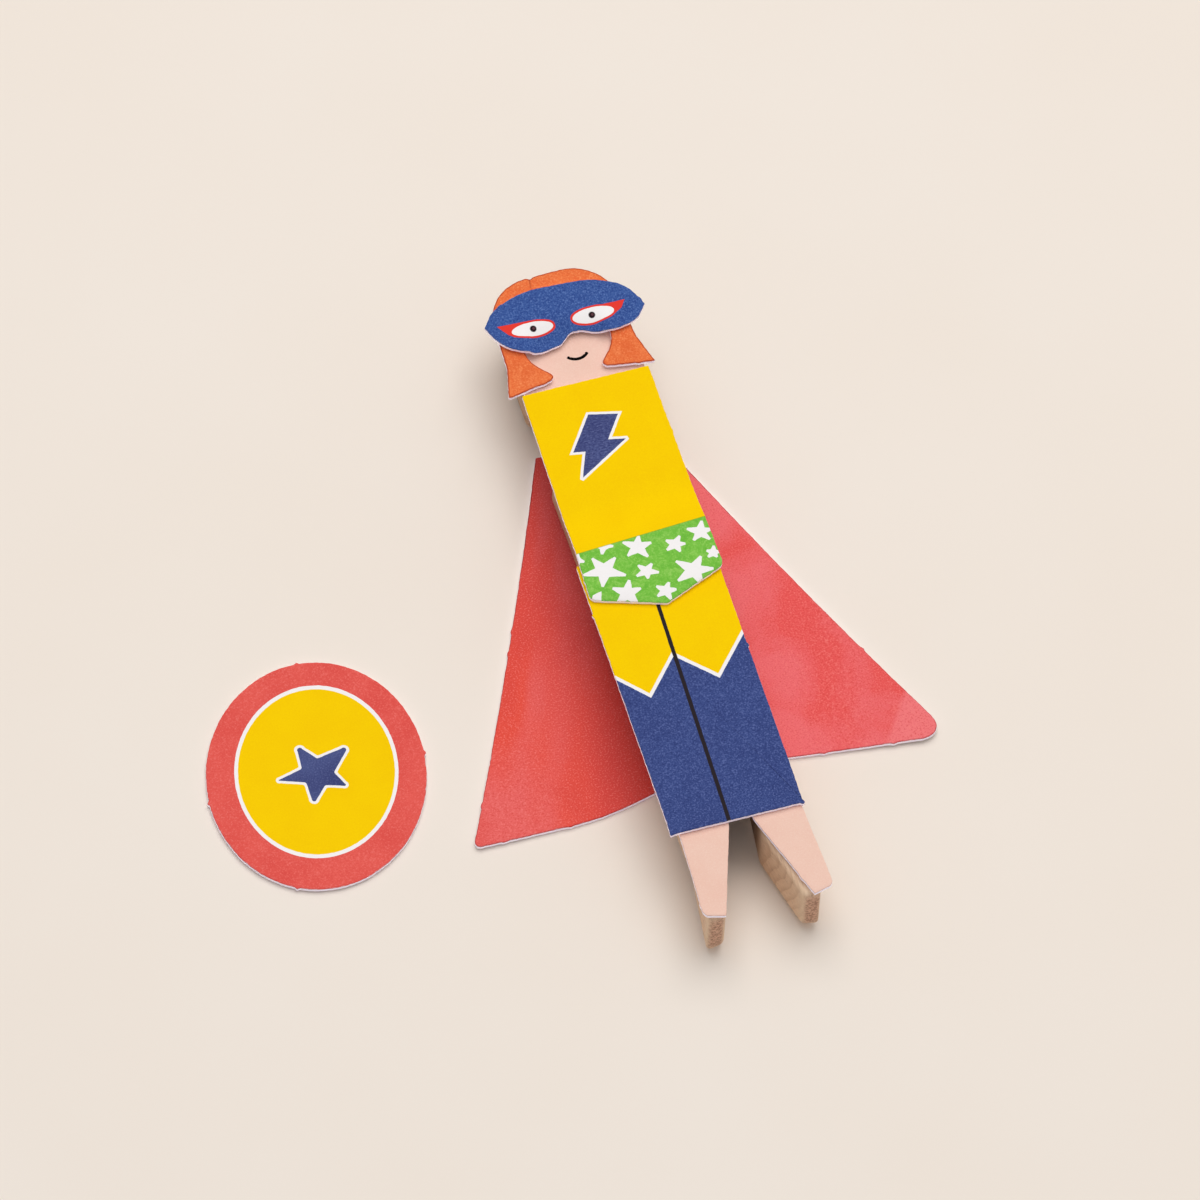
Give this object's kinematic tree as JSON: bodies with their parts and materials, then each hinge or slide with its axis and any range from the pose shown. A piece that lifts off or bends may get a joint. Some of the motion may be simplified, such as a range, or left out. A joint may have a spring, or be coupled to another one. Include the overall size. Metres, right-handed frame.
{
  "type": "peg doll",
  "caption": "Flat wooden dolly peg dressed in printed card as a masked hero, with hair, top, trousers and a cape that swings out, lying beside its loose oval shield.",
  "frame": {"origin": "on the table 54 mm above the ends of the prongs, near the middle of the doll's length, on the underside of the cape that the doll lies on", "axes": "+X to the doll's left hand, which is right in the picture, +Y to the top of its head, +Z out of its printed front"},
  "size_m": [0.1076, 0.1112, 0.013],
  "materials": {
    "wood": "matte",
    "skin_card": "matte",
    "trousers_card": "satin",
    "torso_card": "satin",
    "hair_card": "satin",
    "mask_card": "satin",
    "cape_card": "satin",
    "shield_card": "satin",
    "tape": "matte"
  },
  "bodies": {
    "doll": {"peg": "wood", "figure_card": "skin_card", "trousers_card": "trousers_card", "torso_card": "torso_card", "hair_card": "hair_card", "mask_card": "mask_card", "cape_yoke": "cape_card", "head_tape": "tape", "body_tape": "tape", "left_prong_tape": "tape", "right_prong_tape": "tape", "trousers_tape": "tape", "chest_tape": "tape", "waist_tape": "tape", "hair_tape": "tape", "mask_tape": "tape", "cape_tape": "tape"},
    "cape": {"cape": "cape_card"},
    "shield": {"shield": "shield_card"}
  },
  "joints": [
    {"name": "cape_flap", "type": "hinge", "parent": "doll", "child": "cape", "pos_m": [0.0007, 0.02, 0], "axis": [0.9999, -0.0113, 0], "range_deg": [0, 55], "stiffness_Nm_per_rad": 0.02},
    {"name": "shield_lift", "type": "slide", "parent": "doll", "child": "shield", "axis": [0, 0, 1], "range_m": [0, 0.05]}
  ]
}
